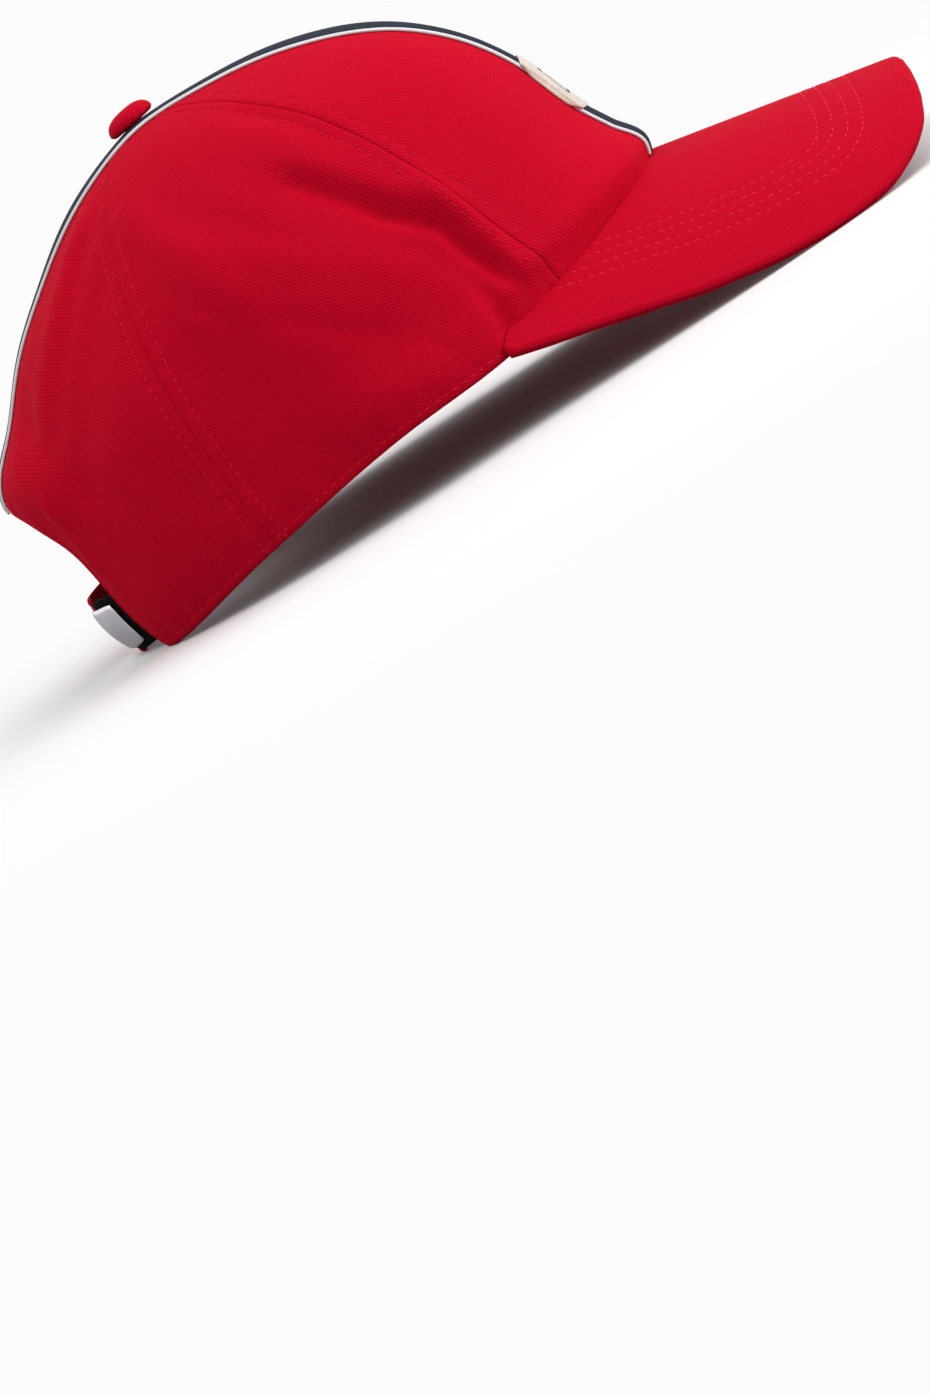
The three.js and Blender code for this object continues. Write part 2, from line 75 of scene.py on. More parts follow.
# dents (depth over 0) and ridges (under 0), width and depth as shares of the half width
foldColumns = ("turn", "up", "toTurn", "toUp", "width", "depth")
folds = [
    (69, 41, 57, 13, 0.1, 0.026),  # the long dent behind the front seam
    (55, 59, 53, 44, 0.04, 0.012),
    (108, 58, 97, 38, 0.07, -0.02),
    (96, 46, 84, 34, 0.06, -0.008),
    (113, 30, 103, 4, 0.17, 0.026),
    (140, 64, 151, 36, 0.06, -0.02),
    (130, 50, 142, 30, 0.07, 0.02),
    (154, 26, 156, 12, 0.07, -0.012),
    (158, 34, 149, 23, 0.06, 0.02),
    (171, 25, 180, 25, 0.15, -0.085),  # the cloth stands out over the opening
]
creases = [
    (66.8, 42, 61.4, 31, 0.034, 0.022),  # steep upper wall of the long dent
    (59.2, 26, 55.3, 20, 0.033, 0.036),
    (53.9, 14, 52.9, 4, 0.03, 0.03),
    (136, 60, 150, 33, 0.045, 0.024),
    (95, 4, 72, -3, 0.13, -0.022),
    (76, -9, 98, -7, 0.16, -0.034),  # the rim stands out behind the peak's corner
    (62, 43.5, 51.5, 21, 0.04, -0.008),
    (50.4, 23, 49.4, 4, 0.04, -0.018),
    (107, 36, 105, 32, 0.03, -0.006),
    (58, 1, 59.5, -8, 0.045, 0.024),
    (72, 2, 70, -6, 0.03, 0.005),
    (163, 29, 157, 21, 0.025, -0.009),
    (157, 21, 158, 10, 0.022, -0.008),
    (153, 20, 154, 8, 0.03, 0.008),
    (118, 8, 116, -3, 0.03, 0.005),
    (128, 10, 127, -2, 0.028, 0.006),
    (137, 12, 135, -1, 0.03, 0.006),
    (90, 24, 80, 12, 0.05, 0.005),
    (84, 44, 74, 30, 0.05, 0.004),
]

# slow unevenness of washed cotton: direction of each wave, its length and height
wanderColumns = ("x", "y", "z", "length", "height", "start")
wander = [
    (0.8, 0.5, 0.3, 46, 0.26, 0.4),
    (-0.3, 0.7, 0.6, 37, 0.22, 2.1),
    (0.5, -0.2, 0.8, 29, 0.16, 4.0),
    (0.1, 0.9, -0.4, 23, 0.12, 5.2),
]

# turn at the rim, turn at the top and bow of each seam
seams = {
    "centreFront": (0, 0, 0),
    "frontSeam": (44.5, 50, 2.5),
    "backSeam": (122, 122, -1.5),
    "centreBack": (180, 180, 0),
}

arch = {
    "halfWidth": 31,
    "top": 57.5,
    "squareness": 0.9,
    "rimShare": 0.42,  # shares of the back panel's edge to the end of the rim and to the arch
    "footShare": 0.57,
}

peak = {
    "length": 76.5,
    "halfWidth": 88,  # laid flat
    "bend": 106,  # radius of the bend about the ridge
    "dip": 20.8,
    "corner": 62,  # turn of the peak's corners
    "cornerEnd": 2.5,
    "board": 2.0,
    "lining": 1.0,
    "gap": 0.3,
    "columns": 181,
    "rows": 84,
    "edgeRound": 2.2,
    "stitchInset": 17.0,  # outermost row of stitches from the edge
    "stitchSpacing": 4.4,
    "stitchRows": 4,
    "grooveDepth": 0.2,
    "grooveWidth": 0.6,
    "topRound": 1.5,
    "liningRound": 0.8,
    "boardEdge": 0.12,  # the board's edge shows through the cloth
    "boardEdgeAt": 2.6,
    "boardEdgeWidth": 0.5,
    "crowdAcross": 0.35,
}

peakEdge = {
    "forward": [1.0, 1.0, 0.985, 0.92, 0.74, 0.42, 0.04, -0.34],
    "across": [0, 0.24, 0.47, 0.67, 0.85, 0.95, 0.98, 0.965],
}


def between(table, key, column, at):
    # a smooth curve through the rows of a table
    x = np.array(table[key], float)
    y = np.array(table[column], float)
    last = len(x) - 1
    at = np.clip(at, x[0], x[last])
    i = np.clip(np.searchsorted(x, at) - 1, 0, last - 1)
    rows = np.arange(last + 1)
    low = np.maximum(rows - 1, 0)
    high = np.minimum(rows + 1, last)
    slope = (y[high] - y[low]) / (x[high] - x[low])
    span = x[i + 1] - x[i]
    t = (at - x[i]) / span
    rise = (y[i + 1] - y[i]) * t * t * (3 - 2 * t)
    return y[i] + rise + span * t * (1 - t) * ((1 - t) * slope[i] - t * slope[i + 1])


def direction(turn, up):
    turn, up = np.broadcast_arrays(np.radians(turn), np.radians(up))
    return np.stack([np.cos(up) * np.cos(turn), np.cos(up) * np.sin(turn), np.sin(up)], -1)


def foldDepth(turn, up):
    # all the dents and ridges at a place, in millimetres inward
    depth = 0
    for row in folds + creases:
        fold = dict(zip(foldColumns, row))
        level = np.cos(np.radians((up + fold["up"]) / 2))
        around = np.radians(turn - fold["turn"]) * level
        over = np.radians(up - fold["up"])
        aroundAll = radians(fold["toTurn"] - fold["turn"]) * level
        overAll = radians(fold["toUp"] - fold["up"])
        span = np.hypot(aroundAll, overAll)
        along = (around * aroundAll + over * overAll) / span
        past = np.maximum(np.maximum(-along, along - span), 0) / 2
        across = (over * aroundAll - around * overAll) / span
        away = np.hypot(across, past) / fold["width"]
        depth = depth + fold["depth"] * crown["halfWidth"] * np.exp(-away * away)
    return depth


def wanderHeight(turn, up):
    place = direction(turn, up) * crown["halfWidth"]
    height = 0
    for row in wander:
        wave = dict(zip(wanderColumns, row))
        along = place @ np.array([wave["x"], wave["y"], wave["z"]])
        turns = 2 * np.pi * along / wave["length"]
        height = height + wave["height"] * np.sin(turns + wave["start"])
    return height


def evenTurn(turn):
    # both sides of the cap as one, 0 at the front and 180 at the back
    turn = np.abs(turn)
    return np.where(turn > 180, 360 - turn, turn)


def crownDistance(turn, up):
    # from the middle of the widest level to the outer face
    even = evenTurn(turn)
    c = np.abs(np.cos(np.radians(even)))
    s = np.sin(np.radians(even))
    inFront = even < 90
    end = np.where(inFront, crown["front"], crown["back"])
    full = np.where(inFront, crown["frontFullness"], crown["backFullness"])
    plan = ((c / end) ** full + (s / crown["halfWidth"]) ** full) ** (-1 / full)
    upward = np.radians(up)
    dome = 1 / np.hypot(np.cos(upward) / plan, np.sin(upward) / crown["rise"])
    ends = [between(crownForm, "up", side, up) for side in ("front", "back")]
    endShare = np.where(inFront, *ends)
    sideShare = between(crownForm, "up", "side", up)
    return dome * (endShare * c * c + sideShare * s * s) - foldDepth(even, up)


def crownPlace(turn, up):
    far = crownDistance(turn, up) + wanderHeight(turn, up)
    return direction(turn, up) * far[..., None] + np.array([0, 0, crown["widest"]])


def unit(v):
    return v / np.maximum(np.linalg.norm(v, axis=-1, keepdims=True), 1e-9)


def crownNormal(turn, up, step=0.5):
    around = crownPlace(turn + step, up) - crownPlace(turn - step, up)
    over = crownPlace(turn, up + step) - crownPlace(turn, up - step)
    return unit(np.cross(around, over))


def crownPoint(turn, up, outward):
    outward = np.asarray(outward, float)
    return crownPlace(turn, up) + crownNormal(turn, up) * outward[..., None]


def polar(p):
    level = np.hypot(p[..., 0], p[..., 1])
    height = p[..., 2] - crown["widest"]
    turn = np.degrees(np.arctan2(p[..., 1], p[..., 0]))
    return turn, np.degrees(np.arctan2(height, level)), np.hypot(level, height)


def leaveCrown(start, way, clearance=0, reach=300):
    # how far along a line from inside the crown its outer face lies
    start = np.asarray(start, float)
    inner = np.zeros(start.shape[:-1])
    outer = inner + reach
    for _ in range(36):
        half = (inner + outer) / 2
        turn, up, far = polar(start + np.asarray(way) * half[..., None])
        inside = far - crownDistance(turn, up) - wanderHeight(turn, up) < clearance
        inner = np.where(inside, half, inner)
        outer = np.where(inside, outer, half)
    return inner


def leavingAt(start, way):
    # turn and level at which a line from inside leaves the crown
    turn, up, _ = polar(start + way * leaveCrown(start, way)[..., None])
    return turn, up


def crossPoint(across, angle, outward):
    # a place by its distance from the centre line and its angle from the front
    across, angle = np.broadcast_arrays(np.asarray(across, float), np.asarray(angle, float))
    start = np.stack([0 * across, across, 0 * across + crown["widest"]], -1)
    way = np.stack([np.cos(np.radians(angle)), 0 * angle, np.sin(np.radians(angle))], -1)
    return crownPoint(*leavingAt(start, way), outward)


def upAtHeight(turn, height):
    up = 0 * np.asarray(turn, float)
    for _ in range(30):
        up = np.degrees(np.arcsin((height - crown["widest"]) / crownDistance(turn, up)))
    return up


def rimUp(turn):
    return upAtHeight(turn, between(rimForm, "turn", "height", evenTurn(turn)))


def backPlace(across, height):
    across, height = np.broadcast_arrays(np.asarray(across, float), np.asarray(height, float))
    start = np.stack([0 * across, across, height], -1)
    return leavingAt(start, np.array([-1.0, 0, 0]))


def tippedWay(way):
    # from the level crown to the way the cap stands
    tilt = radians(crown["tilt"])
    x, y, z = np.moveaxis(np.asarray(way), -1, 0)
    return np.stack([x * cos(tilt) - z * sin(tilt), y, x * sin(tilt) + z * cos(tilt)], -1)


def tipped(points):
    # the same with the cap's place on the floor, in metres
    placed = tippedWay(points) + np.array(crown["shift"])
    placed[..., 2] = np.maximum(placed[..., 2], 0)  # pressed flat where it stands
    return placed * mm


def addObject(name, data):
    added = bpy.data.objects.new(name, data)
    scene.collection.objects.link(added)
    return added


def addPiece(name, points, faces, material, uv=None):
    mesh = bpy.data.meshes.new(name)
    mesh.from_pydata(tipped(points).tolist(), [], faces)
    if uv is not None:
        layer = mesh.uv_layers.new(name="cloth")
        corners = np.empty(len(mesh.loops), int)
        mesh.loops.foreach_get("vertex_index", corners)
        layer.data.foreach_set("uv", uv[corners].astype(np.float32).ravel())
    mesh.shade_smooth()
    mesh.materials.append(material)
    piece = addObject(name, mesh)
    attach(piece, "root")
    return piece


def sheetPiece(name, top, under, material, uv):
    # a closed piece of cloth between two grids of points
    rows, columns = top.shape[:2]
    count = rows * columns
    index = np.arange(count).reshape(rows, columns)
    a, b = index[:-1, :-1].ravel(), index[:-1, 1:].ravel()
    c, d = index[1:, 1:].ravel(), index[1:, :-1].ravel()
    loop = np.concatenate([index[0, :-1], index[:-1, -1], index[-1, :0:-1], index[:0:-1, 0]])
    after = np.roll(loop, -1)
    faces = np.vstack(
        [
            np.stack([a, b, c, d], 1),
            np.stack([a, d, c, b], 1) + count,
            np.stack([after, loop, loop + count, after + count], 1),
        ]
    )
    points = np.vstack([top.reshape(-1, 3), under.reshape(-1, 3)])
    p, q, r = points[faces[:, 0]], points[faces[:, 1]], points[faces[:, 2]]
    if np.einsum("ij,ij->i", p, np.cross(q, r)).sum() < 0:
        faces = faces[:, ::-1]
    uv = np.vstack([uv.reshape(-1, 2), uv.reshape(-1, 2)])
    return addPiece(name, points, faces.tolist(), material, uv)


def crowded(count, share):
    # steps from 0 to 1 that lie closer together at both ends
    even = np.linspace(0, 1, count)
    return (1 - share) * even + share * (0.5 - 0.5 * np.cos(np.pi * even))


def lengthAlong(points, axis):
    steps = np.linalg.norm(np.diff(points, axis=axis), axis=-1)
    lengths = np.cumsum(steps, axis=axis)
    start = np.zeros_like(np.take(lengths, [0], axis=axis))
    return np.concatenate([start, lengths], axis=axis)


def stitchRow(points, normals, thread):
    # single stitches along a line, each a short thread that sinks in at both ends
    along = lengthAlong(points, 0)
    pitch = thread["length"] + thread["gap"]
    count = max(int(along[-1] / pitch), 1)
    each = np.arange(count)[:, None]
    share = np.linspace(0, 1, 6)
    uneven = np.sin(each * 2.4) * np.sin(each * 0.7 + 1)  # no two stitches pulled quite alike
    at = (each + 0.5) * pitch + (share - 0.5) * thread["length"] * (1 + 0.15 * uneven)
    centre = np.stack([np.interp(at, along, points[:, k]) for k in range(3)], -1)
    normal = unit(np.stack([np.interp(at, along, normals[:, k]) for k in range(3)], -1))
    forward = unit(np.gradient(centre, axis=1))
    side = np.cross(forward, normal)
    radius = thread["thick"] / 2 * np.array([0.35, 0.85, 1, 1, 0.85, 0.35])
    lift = thread["lift"] - thread["thick"] * np.array([0.75, 0.12, 0, 0, 0.12, 0.75])
    turn = np.arange(6) / 6 * 2 * np.pi
    ring = normal[:, :, None] * np.cos(turn)[:, None] + side[:, :, None] * np.sin(turn)[:, None]
    centre = centre + normal * (lift + thread["sink"] * uneven)[..., None]
    return centre[:, :, None] + ring * radius[:, None, None]


def stitchPiece(name, rows, material):
    # rows of stitches joined in one mesh, each stitch six rings of six points
    rings = np.concatenate(rows)
    count = len(rings)
    index = np.arange(count * 36).reshape(count, 6, 6)
    nextPoint = np.roll(index, -1, axis=2)
    near, far = index[:, :-1], index[:, 1:]
    walls = np.stack([near, nextPoint[:, :-1], nextPoint[:, 1:], far], -1).reshape(-1, 4)
    ends = np.concatenate([index[:, 0, ::-1], index[:, -1]])
    faces = walls.tolist() + ends.tolist()
    return addPiece(name, rings.reshape(-1, 3), faces, material)


def toLinear(hexColour):
    channels = [int(hexColour[i : i + 2], 16) / 255 for i in (1, 3, 5)]
    return [c / 12.92 if c <= 0.04045 else ((c + 0.055) / 1.055) ** 2.4 for c in channels] + [1.0]


def addNode(tree, kind, values=None, links=None, **settings):
    node = tree.nodes.new("ShaderNode" + kind)
    for name, value in settings.items():
        setattr(node, name, value)
    for socket, value in (values or {}).items():
        node.inputs[socket].default_value = value
    for socket, (source, output) in (links or {}).items():
        tree.links.new(source.outputs[output], node.inputs[socket])
    return node


def newMaterial(name):
    material = bpy.data.materials.new(name)
    material.use_nodes = True
    material.node_tree.nodes.clear()
    return material, material.node_tree


def clothMaterial(name):
    # patterns are laid in millimetres along and across the cloth
    material, tree = newMaterial(name)
    place = addNode(tree, "UVMap", uv_map="cloth")
    return material, tree, {"Vector": (place, "UV")}


def finishMaterial(tree, surface, colour, height, strength, depth, roughness=None):
    # the shader's own values, with the colour, roughness and a bump of so many millimetres
    bump = addNode(tree, "Bump", {"Strength": strength, "Distance": depth * mm}, {"Height": height})
    links = {"Base Color": colour, "Normal": (bump, "Normal")}
    if roughness:
        links["Roughness"] = roughness
    shader = addNode(tree, "BsdfPrincipled", surface, links)
    addNode(tree, "OutputMaterial", links={"Surface": (shader, "BSDF")})


def bandScale(pitch):
    # Blender's wave bands repeat every pi / 10 units at scale 1
    return np.pi / 10 / pitch


def cottonTwill():
    # 3/1 cotton twill, piece dyed and washed: matt, with diagonal wales and slubs; the raised
    # threads are painted lighter as a painted highlight and the low ones darker as painted shade,
    # with a faint pale fuzz at grazing angles
    look = {
        # deep is the painted shade of the low threads, raised the painted highlight of the high
        # ones
        "deep": "#b4001f",
        "raised": "#d60029",
        "walePitch": 1.0,  # millimetres
        "floatPitch": 0.8,
        "floatShare": 0.35,
        "waleAngle": 45,
        "slubLength": 2.4,
        "slubShare": 0.8,
        "waleHeight": 0.13,
        "bump": 0.6,
        "fuzz": 0.015,
        "fuzzColour": "#ff5a64",
    }
    material, tree, cloth = clothMaterial("redCottonTwill")
    turned = addNode(tree, "Mapping", {"Rotation": (0, 0, radians(look["waleAngle"]))}, cloth)
    wales = addNode(
        tree,
        "TexWave",
        {
            "Scale": bandScale(look["walePitch"]),
            "Distortion": 0.7,
            "Detail": 2.0,
            "Detail Scale": 0.6,
        },
        {"Vector": (turned, "Vector")},
        bands_direction="X",
    )
    floats = addNode(
        tree, "TexWave", {"Scale": bandScale(look["floatPitch"]), "Distortion": 1.2, "Detail": 1.0},
        {"Vector": (turned, "Vector")}, bands_direction="Y"
    )
    slub = addNode(
        tree, "TexNoise", {"Scale": 1 / look["slubLength"], "Detail": 3.0, "Roughness": 0.6}, cloth
    )
    weave = addNode(
        tree, "Math", {1: look["floatShare"]}, {0: (floats, "Fac"), 2: (wales, "Fac")},
        operation="MULTIPLY_ADD"
    )
    height = addNode(
        tree, "Math", {1: look["slubShare"]}, {0: (slub, "Fac"), 2: (weave, "Value")},
        operation="MULTIPLY_ADD"
    )
    shade = addNode(
        tree, "MapRange", {"From Min": 0.2, "From Max": 2.0}, {"Value": (height, "Value")}
    )
    # painted light: the higher the wales and slubs stand, the lighter the colour is painted
    colour = addNode(
        tree, "Mix", {6: toLinear(look["deep"]), 7: toLinear(look["raised"])},
        {0: (shade, "Result")}, data_type="RGBA"
    )
    surface = {
        "Roughness": 0.88,
        "IOR": 1.47,  # cotton
        "Specular IOR Level": 0.08,  # washed fibres scatter nearly all of the shine
        "Sheen Weight": look["fuzz"],
        "Sheen Roughness": 0.45,
        "Sheen Tint": toLinear(look["fuzzColour"]),
    }
    finishMaterial(tree, surface, (colour, 2), (height, "Value"), look["bump"], look["waleHeight"])
    return material


redTwill = cottonTwill()


def sewingThread(name, colourHex):
    # spun polyester thread: two twisted plies with a soft shine
    material, tree = newMaterial(name)
    place = addNode(tree, "TexCoord")
    twist = addNode(
        tree,
        "TexNoise",
        {"Scale": 1 / (0.3 * mm), "Detail": 2.0},  # one turn of the plies
        {"Vector": (place, "Object")},
    )
    # painted shade: the hollows between the plies take the colour at three quarters brightness
    colour = addNode(
        tree, "Mix", {6: [c * 0.75 for c in toLinear(colourHex)[:3]] + [1], 7: toLinear(colourHex)},
        {0: (twist, "Fac")}, data_type="RGBA"
    )
    surface = {"Roughness": 0.65, "IOR": 1.57, "Specular IOR Level": 0.05}
    finishMaterial(tree, surface, (colour, 2), (twist, "Fac"), 0.4, 0.05)
    return material


redThread = sewingThread("redThread", "#e42040")
paleThread = sewingThread("paleRedThread", "#f4385a")


def grosgrainRibbon():
    # woven polyester ribbon with fine cross ribs, navy with white edges: a low sheen
    look = {
        "navy": "#111d30",
        "white": "#eef0f2",
        "navyHalf": 11.1,  # half width of the navy, in millimetres
        "ribPitch": 0.8,  # real ribs are about 0.5 mm, drawn wider so that they show
        "ribHeight": 0.12,
    }
    material, tree, cloth = clothMaterial("grosgrainRibbon")
    parts = addNode(tree, "SeparateXYZ", links=cloth)
    ribs = addNode(
        tree, "TexWave", {"Scale": bandScale(look["ribPitch"]), "Distortion": 0.3, "Detail": 1.0},
        cloth, bands_direction="Y"
    )
    aside = addNode(tree, "Math", links={0: (parts, "X")}, operation="ABSOLUTE")
    isEdge = addNode(
        tree, "MapRange",
        {"From Min": look["navyHalf"] - 0.12, "From Max": look["navyHalf"] + 0.12},
        {"Value": (aside, "Value")}
    )
    colour = addNode(
        tree, "Mix", {6: toLinear(look["navy"]), 7: toLinear(look["white"])},
        {0: (isEdge, "Result")}, data_type="RGBA"
    )
    shaded = addNode(
        tree, "Mix", {7: (0.8, 0.8, 0.8, 1)}, {0: (ribs, "Fac"), 6: (colour, 2)}, data_type="RGBA",
        blend_type="MULTIPLY"
    )
    surface = {"Roughness": 0.75, "IOR": 1.57, "Specular IOR Level": 0.1}
    finishMaterial(tree, surface, (shaded, 2), (ribs, "Fac"), 0.7, look["ribHeight"])
    return material


def embroideredPatch():
    # close rows of rayon thread over a raised base: soft lines of shine, painted lighter along the
    # tops of the rows as a painted highlight and darker between them as painted shade, and a dark
    # square line round the middle
    look = {
        "cream": "#f3ebdf",
        "creamPaintedShade": "#ddd0bd",
        "line": "#27344a",
        "lineAt": 0.42,  # share of the way from the middle to the edge
        "lineWidth": 0.05,
        "rowPitch": 0.55,  # rows of thread are about 0.4 mm apart, drawn wider so that they show
        "rowHeight": 0.2,
    }
    material, tree, cloth = clothMaterial("embroideredPatch")
    rows = addNode(
        tree, "TexWave", {"Scale": bandScale(look["rowPitch"]), "Distortion": 1.5, "Detail": 2.0},
        cloth, bands_direction="Y"
    )
    # painted light: the tops of the rows take the cream, the hollows between them a darker painted
    # shade of it
    cream = addNode(
        tree, "Mix", {6: toLinear(look["creamPaintedShade"]), 7: toLinear(look["cream"])},
        {0: (rows, "Fac")}, data_type="RGBA"
    )
    reach = addNode(tree, "Attribute", attribute_name="reach")
    fromLine = addNode(
        tree, "Math", {1: look["lineAt"], 2: look["lineWidth"]}, {0: (reach, "Fac")},
        operation="COMPARE"
    )
    colour = addNode(
        tree, "Mix", {7: toLinear(look["line"])}, {0: (fromLine, "Value"), 6: (cream, 2)},
        data_type="RGBA"
    )
    surface = {"Roughness": 0.6, "IOR": 1.5, "Sheen Weight": 0.2}
    finishMaterial(tree, surface, (colour, 2), (rows, "Fac"), 0.8, look["rowHeight"])
    return material


def wovenTape():
    # black nylon tape in a plain weave: dark, with a slight grain
    look = {
        "raised": "#08080a",
        "deep": "#030304",
        "weavePitch": 0.9,  # real tape has about 0.5 mm, drawn wider so that it shows
        "weaveHeight": 0.12,
    }
    material, tree, cloth = clothMaterial("blackNylonTape")
    weave = addNode(
        tree,
        "TexChecker",
        {
            "Scale": 1 / look["weavePitch"],
            "Color1": toLinear(look["raised"]),
            "Color2": toLinear(look["deep"]),
        },
        cloth,
    )
    surface = {"Roughness": 0.85, "IOR": 1.53, "Specular IOR Level": 0.06}
    finishMaterial(tree, surface, (weave, "Color"), (weave, "Fac"), 0.6, look["weaveHeight"])
    return material


def satinSteel():
    # stamped stainless steel, rubbed to a satin finish: broad soft reflections with
    # fine lines along its length
    look = {
        "deep": "#dcd9e2",
        "pale": "#f4f1f8",
        "smooth": 0.28,
        "rubbed": 0.38,
        "lineStretch": (0.15, 3.0, 1),  # lines run along the plate
        "lineDepth": 0.02,
    }
    material, tree, cloth = clothMaterial("satinSteel")
    drawn = addNode(tree, "Mapping", {"Scale": look["lineStretch"]}, cloth)
    lines = addNode(tree, "TexNoise", {"Scale": 1.2, "Detail": 4.0}, {"Vector": (drawn, "Vector")})
    colour = addNode(
        tree, "Mix", {6: toLinear(look["deep"]), 7: toLinear(look["pale"])}, {0: (lines, "Fac")},
        data_type="RGBA"
    )
    rough = addNode(
        tree, "MapRange", {"To Min": look["smooth"], "To Max": look["rubbed"]},
        {"Value": (lines, "Fac")}
    )
    surface = {"Metallic": 1.0}
    height, depth = (lines, "Fac"), look["lineDepth"]
    finishMaterial(tree, surface, (colour, 2), height, 0.25, depth, (rough, "Result"))
    return material


ribbonCloth = grosgrainRibbon()
patchCloth = embroideredPatch()
blackTape = wovenTape()
claspSteel = satinSteel()
print("materials ready")

# the six panels

panelLook = {
    "rows": 132,
    "crowdAcross": 0.45,  # how much closer the grid lies at the seams and at the rim
    "crowdUp": 0.3,
    "panels": {
        "front": {"from": "centreFront", "to": "frontSeam", "columns": 78, "at": 24, "cut": -25},
        "side": {"from": "frontSeam", "to": "backSeam", "columns": 104, "at": 84, "cut": 12},
        "back": {"from": "backSeam", "to": "centreBack", "columns": 112, "at": 150, "cut": 30},
    },
    # how far the cloth turns in at each seam
    "rollDepth": {"frontSeam": 0.3, "backSeam": 0.12, "centreFront": 0.3, "centreBack": 0.3},
    "rollWidth": 0.45,
    "stitchInset": 3.8,  # rows of stitches on both sides of a seam
    "stitchDip": 0.2,
    "stitchWidth": 0.55,
    "allowance": 0.13,  # the seam's folded edges lift the cloth
    "allowanceStep": 3,  # how sharply they end
    "pucker": 0.1,
    "puckerPitch": 7.5,
    "puckerWidth": 2.6,
    "rimRound": 0.5,
    "rimRoundInside": 0.4,
    "rimRoundWidth": 0.8,
    "rimStitch": 2.5,
    "rimStitchWidth": 0.5,
    "rimSwell": 0.3,
    "rimSwellAt": 1.4,
    "rimSwellWidth": 1.1,
    "gather": 0.32,
    "gatherPitch": 9.5,
    "gatherAt": 5.5,
    "gatherWidth": 4.5,
    "gatherFrontShare": 0.35,  # gathers are slighter in front of the back seam
    "gatherTurn": 108,
    "firstRimTurn": 63,  # rim stitches start at the peak's corner
}


def backEdge(share):
    # the back panel's lower edge: the rim, the side of the opening, then its arch
    rimShare, footShare = arch["rimShare"], arch["footShare"]
    start = seams["backSeam"][0]
    footRim, _ = backPlace(arch["halfWidth"], between(rimForm, "turn", "height", 180))
    footTop, footUp = backPlace(arch["halfWidth"], archFoot)
    onRim = start + (footRim - start) * np.minimum(share / rimShare, 1)
    rimLevel = rimUp(onRim)
    climb = np.clip((share - rimShare) / (footShare - rimShare), 0, 1)
    footTurn = onRim + (footTop - footRim) * climb
    footLevel = rimLevel + (footUp - rimLevel) * climb
    turned = np.clip((share - footShare) / (1 - footShare), 0, 1) * np.pi / 2
    across = arch["halfWidth"] * np.maximum(np.cos(turned), 0) ** arch["squareness"]
    height = archFoot + (arch["top"] - archFoot) * np.sin(turned) ** arch["squareness"]
    archTurn, archUp = backPlace(across, height)
    onArch = share > footShare
    return np.where(onArch, archTurn, footTurn), np.where(onArch, archUp, footLevel)


def seamTurn(seam, rise):
    rimTurn, topTurn, bow = seams[seam]
    return rimTurn + (topTurn - rimTurn) * rise + bow * np.sin(np.pi * rise)


strap = {
    "width": 21.5,
    "low": -1,  # lower edge over the rim
    "thick": 1.6,
    "swell": 2.4,  # how far its middle stands out
    "tuck": 12,  # length behind the panels
    "clear": 0.9,  # gap to the inside of the panels
    "freeShare": 0.8,  # share of the opening over which it swells
    "join": 4,  # degrees that the join lies to the right
    "archClear": 2,
    "columns": 150,
    "rows": 27,
    "hem": 0.4,
    "stitchShare": 0.12,  # of the width, from either edge to a row of stitches
    "tabInset": 1,
}
archFoot = strap["low"] + strap["width"] + strap["archClear"]
topUp = np.degrees(np.arccos(crown["topHole"] / crown["rise"]))


def panelPlaces(name, share, rise):
    # turn and level of a panel's grid, from one seam to the next and from the rim up
    panel = panelLook["panels"][name]
    first, last = panel["from"], panel["to"]
    if name == "back":
        edgeTurn, edgeUp = backEdge(share)
        topTurn = seams[first][1] + (seams[last][1] - seams[first][1]) * share
        bow = seams[first][2] * np.sin(np.pi * rise) * (1 - share)
        return edgeTurn + (topTurn - edgeTurn) * rise + bow, edgeUp + (topUp - edgeUp) * rise
    fromTurn, toTurn = seamTurn(first, rise), seamTurn(last, rise)
    low = rimUp(seams[first][0] + (seams[last][0] - seams[first][0]) * share)
    return fromTurn + (toTurn - fromTurn) * share, low + (topUp - low) * rise


def hump(distance, middle, width):
    return np.exp(-(((distance - middle) / width) ** 2))


def panelRelief(name, turn, fromEdge, toEdge, low):
    # what the sewing does to the cloth, in millimetres outward
    look = panelLook
    relief = 0 * low
    wave = np.sin(2 * np.pi * low / look["puckerPitch"] + 1.7 * np.sin(low / 11))
    panel = look["panels"][name]
    inset = look["stitchInset"]
    for seam, distance in ((panel["from"], fromEdge), (panel["to"], toEdge)):
        relief -= look["rollDepth"][seam] * hump(distance, 0, look["rollWidth"])
        if seam in ("centreFront", "centreBack"):
            continue  # under the ribbon
        relief -= look["stitchDip"] * hump(distance, inset, look["stitchWidth"])
        relief += look["allowance"] / (1 + np.exp((distance - inset) * look["allowanceStep"]))
        relief += look["pucker"] * wave * hump(distance, inset, look["puckerWidth"])
    relief -= look["rimRound"] * hump(low, 0, look["rimRoundWidth"])
    relief -= look["stitchDip"] * hump(low, look["rimStitch"], look["rimStitchWidth"])
    relief += look["rimSwell"] * hump(low, look["rimSwellAt"], look["rimSwellWidth"])
    around = np.radians(turn) * crown["halfWidth"]
    gathers = np.sin(2 * np.pi * around / look["gatherPitch"] + 1.3 * np.sin(around / 17))
    least = look["gatherFrontShare"]
    backward = least + (1 - least) / (1 + np.exp((look["gatherTurn"] - turn) / 8))
    relief += look["gather"] * gathers * backward * hump(low, look["gatherAt"], look["gatherWidth"])
    return relief


def cutAcross(uv, degrees):
    # each piece is cut at its own angle to the weave
    c, s = cos(radians(degrees)), sin(radians(degrees))
    return uv @ np.array([[c, s], [-s, c]])


